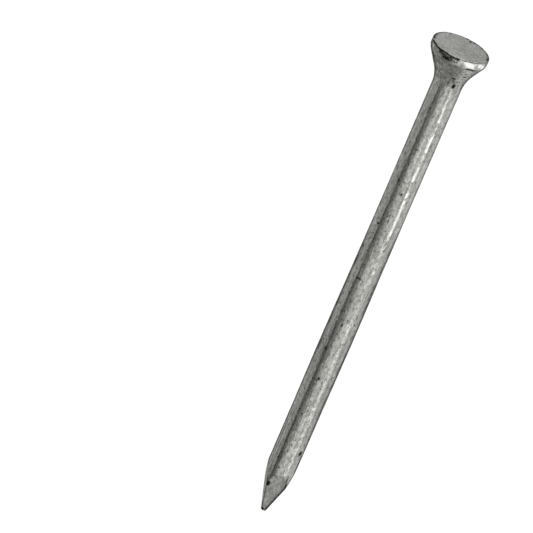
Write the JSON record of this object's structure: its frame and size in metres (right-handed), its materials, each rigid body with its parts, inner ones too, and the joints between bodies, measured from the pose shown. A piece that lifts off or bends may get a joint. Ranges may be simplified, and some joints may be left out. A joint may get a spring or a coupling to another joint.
{
  "type": "nail",
  "caption": "Zinc-coated steel nail with a round smooth shank, a flat head with a cone-shaped underside, and a blunt four-sided point.",
  "frame": {"origin": "centre of the head's flat face", "axes": "+Z runs along the shank's axis, out of the head's flat face; the point is towards -Z, with its four facets facing -Y, +Y, -X and +X"},
  "size_m": [0.0056, 0.0056, 0.05],
  "materials": {
    "steel": "bare cold-drawn wire, hidden under the zinc",
    "zinc": "dull grey zinc with lengthwise drawing streaks, small dark pits and bright worn spots"
  },
  "bodies": {
    "root": {"steel_nail": "steel", "galvanised_coating": "zinc"}
  },
  "joints": []
}
